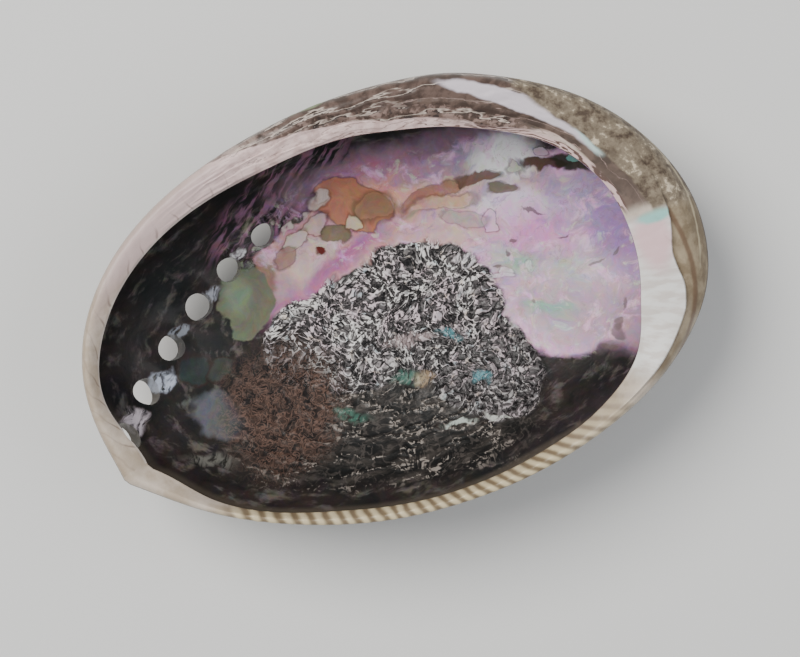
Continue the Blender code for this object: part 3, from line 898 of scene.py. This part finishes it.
# Small dark ticks on the bright nacre: (x, y, half length, half width, turn).
TICKS = (
    (0.0342, 0.0086, 0.0010, 0.0005, 12), (0.0540, -0.0050, 0.0021, 0.0004, 2),
    (0.0575, -0.0165, 0.0005, 0.0018, -18), (0.0546, -0.0214, 0.0010, 0.0013, -18),
    (0.0318, 0.0053, 0.0008, 0.0008, -18), (0.0421, 0.0125, 0.0026, 0.0003, -28),
    (0.0590, -0.0049, 0.0005, 0.0013, -38), (0.0479, 0.0050, 0.0023, 0.0003, 2),
    (0.0287, 0.0014, 0.0008, 0.0005, -18), (0.0355, -0.0100, 0.0008, 0.0013, 2),
    (0.0538, -0.0233, 0.0015, 0.0013, -18), (0.0502, -0.0262, 0.0013, 0.0008, -18),
)

# Stains of the rim, placed on the rim unrolled, with the same eight values as in the bowl.
RIM_TINTS = (
    (0.1420, 0.0080, 0.0200, 0.0100, 0, 0.50, 0.80, (206, 182, 180)),
    (0.0410, 0.0071, 0.0205, 0.0020, -10, 0.14, 1.00, (212, 202, 208)),
    (0.0225, 0.0099, 0.0040, 0.0011, -10, 0.40, 0.90, (190, 215, 210)),
    (0.0965, 0.0010, 0.0055, 0.0010, 0, 0.30, 0.70, (136, 150, 112)),
    (0.0110, 0.0119, 0.0068, 0.0019, 14, 0.20, 0.60, (92, 77, 68)),
)


def overlaid(finish, colour, places, marks, outline=0.0):
    """The colour with these marks laid over it, each with a thin dark outline of this strength."""
    for x, y, along, across, turn, softness, strength, tint in marks:
        away = finish.spot(places, x, y, along, across, turn)
        thin = 0.00035 / across
        if outline:
            ring = finish.step(away, 1.03 + softness + thin, 1.0) * finish.step(away, 0.92, 1.0)
            colour = finish.blend(ring * (outline * strength), colour, (48, 30, 24))
        colour = finish.blend(finish.step(away, 1 + softness, 1 - softness) * strength, colour, tint)
    return colour


def wall_colour(finish, found):
    """The dark side of the bowl: grey, brown and green nacre, darkened partly as painted shade, with violet
    streaks high on the left.
    """
    tone = finish.noise(found["gentle"], 0.014, 4)
    colour = finish.blend(finish.step(tone, 0.36, 0.64), (19, 23, 23), (44, 37, 35))
    # The pale streaks along the growth lines are partly painted highlights.
    colour = finish.blend(finish.step(found["streaks"], 0.51, 0.70) * 0.75, colour, (98, 92, 87))
    colour = finish.blend(finish.step(found["streaks"], 0.47, 0.30) * 0.6, colour, (14, 17, 17))
    streaky = finish.combed(finish.warped(found["place"], 0.006, 0.0016), 38, 6.0)
    combed = finish.noise(streaky, 0.0017, 3, 0.6)
    violet = finish.step(finish.spot(found["gentle"], -0.0200, 0.0360, 0.0230, 0.0075, 24), 1.25, 0.70)
    colour = finish.blend(violet * finish.step(combed, 0.46, 0.62) * 0.85, colour, (148, 104, 128))
    return finish.blend(violet * finish.step(combed, 0.47, 0.36) * 0.6, colour, (20, 14, 16))


def nacre_sheen(finish, colour, found, bright):
    """Pink, green and violet drifting over the bright nacre in small washes."""
    ragged = found["ragged"]
    wash = finish.noise(ragged, 0.0062, 6, 0.66)
    second = finish.noise(finish.vector("ADD", ragged, (0.3, 0.1, 0)), 0.0034, 5, 0.64)
    colour = finish.blend(finish.step(wash, 0.51, 0.66) * bright * 0.65, colour, (244, 196, 232))
    colour = finish.blend(finish.step(wash, 0.47, 0.32) * bright * 0.55, colour, (164, 134, 186))
    colour = finish.blend(finish.step(second, 0.55, 0.68) * bright * 0.50, colour, (214, 224, 198))
    colour = finish.blend(finish.step(second, 0.44, 0.32) * bright * 0.45, colour, (168, 134, 146))
    veins = finish.line(finish.noise(ragged, 0.0090, 4, 0.6) - 0.5, 0.008)
    return finish.blend(veins * bright * 0.30, colour, (128, 96, 110))


def floor_colour(finish, colour, found):
    """The scar's crumpled nacre, the brown patch and the long dark lines below it."""
    tone, ragged = found["tone"], found["ragged"]
    drift = finish.noise(found["gentle"], 0.0090, 3)
    small = finish.noise(ragged, 0.0030, 2)
    # The scar's pale crests are partly painted highlights, and its dark folds partly painted shade.
    light = finish.blend(finish.step(drift, 0.40, 0.60), (232, 230, 226), (214, 198, 202))
    light = finish.blend(finish.step(small, 0.58, 0.70) * 0.55, light, (160, 196, 204))
    light = finish.blend(finish.step(small, 0.42, 0.30) * 0.45, light, (222, 196, 164))
    low = finish.step(finish.part(found["gentle"], 1), 0.002, -0.026)
    tone = tone * (1 - 0.35 * low)
    crumpled = finish.blend(finish.step(tone, 0.00, 0.24), (16, 14, 14), (88, 84, 84))
    crumpled = finish.blend(finish.step(tone, 0.22, 0.74), crumpled, light)
    earth = finish.blend(finish.step(small, 0.36, 0.62), (22, 17, 15), (58, 44, 37))
    earth = finish.blend(finish.step(tone, 0.30, 0.80) * 0.35, earth, (104, 88, 80))
    swirls = finish.line(found["curls"] - 0.5, 0.022) + finish.line(found["curls"] - 0.58, 0.016)
    earth = finish.blend(finish.most(found["arcs"] * 0.7, swirls) * 0.5, earth, (132, 102, 88))
    dark = finish.blend(finish.step(found["streaks"], 0.40, 0.70), (20, 21, 20), (58, 54, 50))
    dark = finish.blend(finish.step(tone, 0.20, 0.60) * 0.35, dark, (112, 104, 98))
    dark = finish.blend(found["lines"] * finish.step(tone, 0.10, 0.40) * 0.65, dark, (170, 160, 150))
    colour = finish.blend(found["dark"] * 0.95, colour, dark)
    colour = finish.blend(found["scar"], colour, crumpled)
    return finish.blend(found["brown"] * 0.92, colour, earth)


def glinting(finish, colour, ragged):
    """Glints of bare nacre, some of them painted highlights, broken up by fine streaks, and small dark
    ticks.
    """
    glints = overlaid(finish, colour, ragged, GLINTS, 0.5)
    broken = finish.noise(finish.combed(ragged, 60, 3.0), 0.0011, 3, 0.6)
    colour = finish.blend(finish.step(broken, 0.34, 0.56), colour, glints)
    for x, y, along, across, turn in TICKS:
        tick = finish.step(finish.spot(ragged, x, y, along, across, turn), 1.3, 0.7)
        colour = finish.blend(tick * 0.75, colour, (92, 76, 74))
    return colour


def bowl_finish():
    finish = Finish("nacre_bowl")
    place = finish.vector("MULTIPLY", finish.place(), (1, 1, 0))
    found = {"place": place, **floor_pattern(finish, place)}
    colour = wall_colour(finish, found)
    colour = overlaid(finish, colour, found["ragged"], BOWL_TINTS)
    disc = finish.step(finish.spot(found["gentle"], 0.0451, 0.0010, 0.0262, 0.0262, 0), 1.05, 0.95)
    band = finish.step(finish.spot(found["gentle"], 0.0060, 0.0250, 0.0420, 0.0130, 0), 1.10, 0.80)
    bright = disc + band - disc * band
    colour = nacre_sheen(finish, colour, found, bright)
    colour = overlaid(finish, colour, found["ragged"], BOWL_STAINS, 0.75)
    grain = finish.noise(found["ragged"], 0.0026, 6, 0.68, out="Color")
    colour = finish.blend(0.80, colour, finish.blend(0.25, grain, (188, 188, 188)), "OVERLAY")
    colour = floor_colour(finish, colour, found)
    colour = glinting(finish, colour, found["ragged"])
    inward = finish.fact("inward")
    lip = finish.step(finish.part(place, 1), 0.002, -0.008) * finish.step(inward, 1.024, 1.000)
    colour = finish.blend(lip * 0.65, colour, (98, 89, 76))
    ripple = finish.noise(found["gentle"], 0.0060, 3) * 0.00030
    crumpled = found["tone"] * finish.step(scar_edge(finish, found["gentle"]), 1.06, 0.94)
    fine = (crumpled + found["streaks"] * (1 - bright) * 0.5) * 0.00045
    return finish.surface({
        "Base Color": colour, "Roughness": 0.42 - bright * 0.08 - found["scar"] * 0.06,
        "Normal": finish.bumped(ripple + fine), "Coat Weight": 0.08, "Coat Roughness": 0.12,
        "Specular IOR Level": 0.22,
    })


def layered_colour(finish, found, inward):
    """The broad part of the rim: sheets of shell one on another, with thin dark edges."""
    degrees, part, bend = found["degrees"], found["part"], found["bend"]
    past = (degrees - 47) / 68
    ridge = 0.89 - 0.54 * past * past
    ragged = inward + (bend - 0.5) * 0.34
    inner = finish.step(ragged, ridge - 0.03, ridge + 0.01)
    tone = finish.noise(found["ragged"], 0.0044, 5, 0.62)
    outer = finish.blend(finish.step(tone, 0.40, 0.60), (70, 55, 47), (104, 85, 76))
    lumps = finish.noise(found["ragged"], 0.0028, 3, 0.6)
    ridge_side = finish.line(ragged - ridge + 0.10, 0.26)
    outer = finish.blend(finish.step(lumps, 0.52, 0.60) * ridge_side * 0.50, outer, (170, 144, 134))
    outer = finish.blend(finish.step(lumps, 0.45, 0.38) * ridge_side * 0.85, outer, (48, 38, 34))
    far = finish.step(degrees, 104, 126)
    outer = finish.blend(far * finish.step(tone, 0.42, 0.60) * 0.8, outer, (196, 176, 168))
    outer = finish.blend(far * finish.step(lumps, 0.56, 0.64) * 0.5, outer, (150, 158, 140))
    outer = finish.blend(finish.step(part, 0.13, 0.01) * 0.85, outer, (44, 34, 30))
    outer = finish.blend(finish.step(part, 0.84, 0.97) * 0.7, outer, (216, 200, 186))
    fine = finish.wave(inward * 13 + bend * 7.0)
    cream = finish.blend(finish.step(tone, 0.42, 0.62), (228, 202, 196), (200, 172, 166))
    creases = finish.step(fine, 0.30, 0.04) * finish.step(degrees, 108, 84)
    cream = finish.blend(creases * 0.65, cream, (122, 98, 86))
    cream = finish.blend(finish.step(part, 0.09, 0.01) * 0.6, cream, (84, 64, 58))
    return finish.blend(inner, outer, cream)


def brown_band(finish, colour, found, inward):
    """The brown band between the crust and the opening, with thin pink lines along its inner side."""
    degrees, part, bend = found["degrees"], found["part"], found["bend"]
    tone = finish.noise(found["ragged"], 0.0044, 5, 0.62)
    wide = 0.065 + 0.105 * finish.step(degrees, 54, 22)
    away = abs(inward - (0.83 - 0.0046 * degrees) + (bend - 0.5) * 0.20) / wide
    band = finish.step(away, 1.05, 0.92) * finish.step(degrees, 3, 6) * finish.step(degrees, 84, 64)
    brown = finish.blend(finish.step(tone, 0.40, 0.60), (66, 52, 44), (102, 84, 74))
    brown = finish.blend(finish.step(part, 0.08, 0.01) * 0.6, brown, (196, 168, 160))
    colour = finish.blend(band * 0.95, colour, brown)
    inner = finish.step(inward + (bend - 0.5) * 0.12, 0.90, 0.93) * finish.step(degrees, 3, 7)
    inner = inner * finish.step(degrees, 60, 44)
    lines = finish.step(finish.wave(inward * 16 + bend * 9.0), 0.35, 0.60)
    return finish.blend(inner, colour, finish.blend(lines, (96, 74, 66), (214, 184, 178)))


def left_marks(finish, colour, found, inward):
    """The narrow end of the rim: small marks along its inner half, tan outside, and a painted highlight
    along the opening.
    """
    left = found["left"]
    marks = finish.step(found["dashes"], 0.16, 0.02) * finish.step(inward, 0.55, 0.85)
    colour = finish.blend(left * marks * 0.5, colour, (112, 94, 84))
    colour = finish.blend(left * finish.step(inward, 0.42, 0.06) * 0.5, colour, (146, 128, 106))
    # A painted highlight along the opening's edge.
    return finish.blend(left * finish.step(inward, 0.90, 0.98) * 0.7, colour, (218, 208, 198))


def crusted_colour(finish, grains, tone):
    """The crust on the rim: tan and dark grains, with pale ones on top that are partly painted highlights.
    """
    crusted = finish.blend(finish.step(grains, 0.34, 0.58), (74, 60, 48), (134, 121, 102))
    # The pale grain tops are partly pale crumbs and partly painted highlights.
    crusted = finish.blend(finish.step(grains, 0.56, 0.65) * 0.9, crusted, (210, 194, 168))
    return finish.blend(finish.step(tone, 0.52, 0.66) * 0.5, crusted, (126, 114, 96))


def rim_finish():
    finish = Finish("shell_rim")
    place, across, inward = finish.place(), finish.fact("across"), finish.fact("inward")
    found = rim_pattern(finish, place, inward)
    degrees, ragged, crust, grains = found["degrees"], found["ragged"], found["crust"], found["grains"]
    tone = finish.noise(finish.warped(place, 0.010, 0.0020), 0.0070, 4, 0.6)
    colour = finish.blend(finish.step(tone, 0.35, 0.65), (176, 160, 140), (200, 186, 170))
    colour = finish.blend(found["shelf"], colour, layered_colour(finish, found, inward))
    left = found["left"]
    broad_dashes = finish.step(found["dashes"], 0.20, 0.02)
    colour = finish.blend(left * broad_dashes * 0.25, colour, (120, 100, 88))
    colour = brown_band(finish, colour, found, inward)
    colour = overlaid(finish, colour, ragged, RIM_TINTS)
    colour = left_marks(finish, colour, found, inward)
    ribbed = finish.blend(finish.step(found["ribs"], 0.15, 0.80), (116, 99, 72), (206, 191, 154))
    colour = finish.blend(found["lip"] * 0.92, colour, ribbed)
    colour = finish.blend(crust, colour, crusted_colour(finish, grains, tone))
    colour = whorl_colour(finish, colour, found, across, inward, tone)
    # A painted highlight along the rim's crest on the right, where it turns over.
    crest_highlight = finish.line(inward - (0.12 - 0.0052 * degrees), 0.020)
    crest_highlight = crest_highlight * finish.step(degrees, 24, 16) * finish.step(degrees, -12, -6)
    colour = finish.blend(crest_highlight * 0.7, colour, (202, 188, 156))
    rind = finish.blend(found["lip"], (58, 45, 34), (134, 96, 60))
    colour = finish.blend(finish.step(inward, 0.050, 0.018) * 0.85, colour, rind)
    height = grains * crust * 0.00035 + finish.noise(place, 0.0030, 4) * 0.00020
    return finish.surface({
        "Base Color": colour, "Roughness": 0.42 + crust * 0.25, "Normal": finish.bumped(height),
        "Coat Weight": (1 - crust) * 0.10, "Coat Roughness": 0.2, "Specular IOR Level": 0.35,
    })


def whorl_colour(finish, colour, found, across, inward, tone):
    """The white end of the lip on the right, and the tan slope outside it."""
    degrees, ragged = found["degrees"], found["ragged"]
    here = finish.step(degrees, 3.5, 1.5) * finish.step(degrees, -36, -30)
    slope = here * finish.step(inward, 0.0, 0.04)
    tan = finish.blend(finish.step(tone, 0.40, 0.62), (124, 108, 84), (162, 146, 120))
    colour = finish.blend(slope * 0.9, colour, tan)
    groove = finish.line(inward - (0.445 + 0.0145 * (degrees - 1)), 0.055)
    colour = finish.blend(groove * here * 0.8, colour, (104, 80, 60))
    callus = here * finish.step(across, 1.302, 1.312)
    streak = finish.noise(finish.joined(degrees * 0.004, inward * 0.015), 0.0060, 3)
    pale = finish.blend(finish.step(streak, 0.40, 0.62), (226, 224, 218), (208, 200, 192))
    pink = finish.step(finish.spot(ragged, -0.0035, 0.0112, 0.0070, 0.0040, 0), 1.3, 0.5)
    pale = finish.blend(pink * 0.9, pale, (222, 184, 186))
    mint = finish.step(finish.spot(ragged, 0.0016, 0.0098, 0.0014, 0.0036, 0), 1.3, 0.6)
    pale = finish.blend(mint * 0.9, pale, (140, 200, 190))
    return finish.blend(callus, colour, pale)


def outside_finish():
    """Brown and green bands along the growth lines, chalky crust, and bare nacre on the worn spire."""
    finish = Finish("shell_outside")
    place, age, cords = finish.place(), finish.fact("age"), finish.fact("cords")
    gentle = finish.warped(place, 0.012, 0.0030, 3.0)
    bands = finish.noise(gentle, 0.010, 3)
    years = 0.5 * finish.wave(age * 2.6 + bands * 0.9)
    colour = finish.blend(finish.step(years, 0.08, 0.42), (94, 62, 48), (98, 96, 70))
    dull = finish.step(finish.noise(gentle, 0.018, 3), 0.48, 0.66)
    colour = finish.blend(dull * 0.8, colour, (68, 54, 46))
    colour = finish.blend(finish.step(cords, 0.2, 1.0) * 0.35, colour, (150, 128, 98))
    chalk = finish.step(finish.noise(place, 0.0065, 5, 0.65), 0.55, 0.64)
    colour = finish.blend(chalk * 0.75, colour, (168, 158, 140))
    specks = finish.step(finish.noise(place, 0.0019, 3, 0.6), 0.66, 0.74)
    colour = finish.blend(specks * 0.8, colour, (206, 198, 182))
    worn = finish.step(finish.spot(gentle, APEX[0], APEX[1], 0.0090, 0.0080, 0), 1.25, 0.60)
    pearl = finish.blend(finish.noise(gentle, 0.004, 3), (206, 180, 184), (158, 186, 178))
    colour = finish.blend(worn * 0.85, colour, pearl)
    height = finish.noise(place, 0.0060, 3) * 0.00025 + finish.noise(place, 0.0009, 3, 0.6) * 0.00020
    return finish.surface({
        "Base Color": colour, "Roughness": 0.50 + chalk * 0.30 - worn * 0.25,
        "Normal": finish.bumped(height), "Specular IOR Level": 0.5,
    })


shell = skin()
draw_finer(shell)
press_relief(shell)
bore_holes(shell)
shell.data.transform(Matrix.Translation(DRAWN_FROM))
part_faces(shell)
pick(shell)
bpy.ops.object.shade_smooth_by_angle(angle=math.radians(60))
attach(shell, "root")
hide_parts("abalone_shell")


# The camera looks straight down, turned so that the shell's length runs up to the right.
PICTURE_TURN = math.radians(-17.5)
CAMERA_PLACE = (-0.0007, -0.0070, 0.6400)
LENS = 109.6
SENSOR_WIDTH = 36.0

# The light of the room, and the lamps: place, size in metres, power in watts and colour.
ROOM_COLOUR = (0.90, 0.93, 1.0, 1.0)
ROOM_STRENGTH = 0.50
LAMPS = {
    "window": ((-0.60, 0.65, 1.30), 1.00, 27.0, (1.0, 0.98, 0.95)),
    "fill": ((0.9, -0.3, 1.0), 0.90, 4.0, (1.0, 1.0, 1.0)),
}


def pale_stage():
    deselect_all()
    bpy.ops.mesh.primitive_plane_add(size=4.0, location=(0, 0, 0))
    floor = bpy.context.object
    floor.name = "floor"
    pale = Finish("pale_floor").surface({"Base Color": srgb(226, 226, 223), "Roughness": 0.85})
    floor.data.materials.append(pale)


def soft_light(name, place, size, power, colour):
    deselect_all()
    bpy.ops.object.light_add(type="AREA", location=place)
    lamp = bpy.context.object
    lamp.name = name
    lamp.data.shape = "DISK"
    lamp.data.size = size
    lamp.data.energy = power
    lamp.data.color = colour
    lamp.rotation_euler = (-Vector(place)).to_track_quat("-Z", "Y").to_euler()


def studio():
    world = bpy.data.worlds.new("studio")
    world.use_nodes = True
    background = world.node_tree.nodes["Background"]
    background.inputs["Color"].default_value = ROOM_COLOUR
    background.inputs["Strength"].default_value = ROOM_STRENGTH
    bpy.context.scene.world = world
    for name, (place, size, power, colour) in LAMPS.items():
        soft_light(name, place, size, power, colour)


def camera():
    deselect_all()
    bpy.ops.object.camera_add(location=CAMERA_PLACE, rotation=(0, 0, PICTURE_TURN))
    eye = bpy.context.object
    eye.data.lens = LENS
    eye.data.sensor_width = SENSOR_WIDTH
    eye.data.clip_start = 0.05
    bpy.context.scene.camera = eye


pale_stage()
studio()
camera()

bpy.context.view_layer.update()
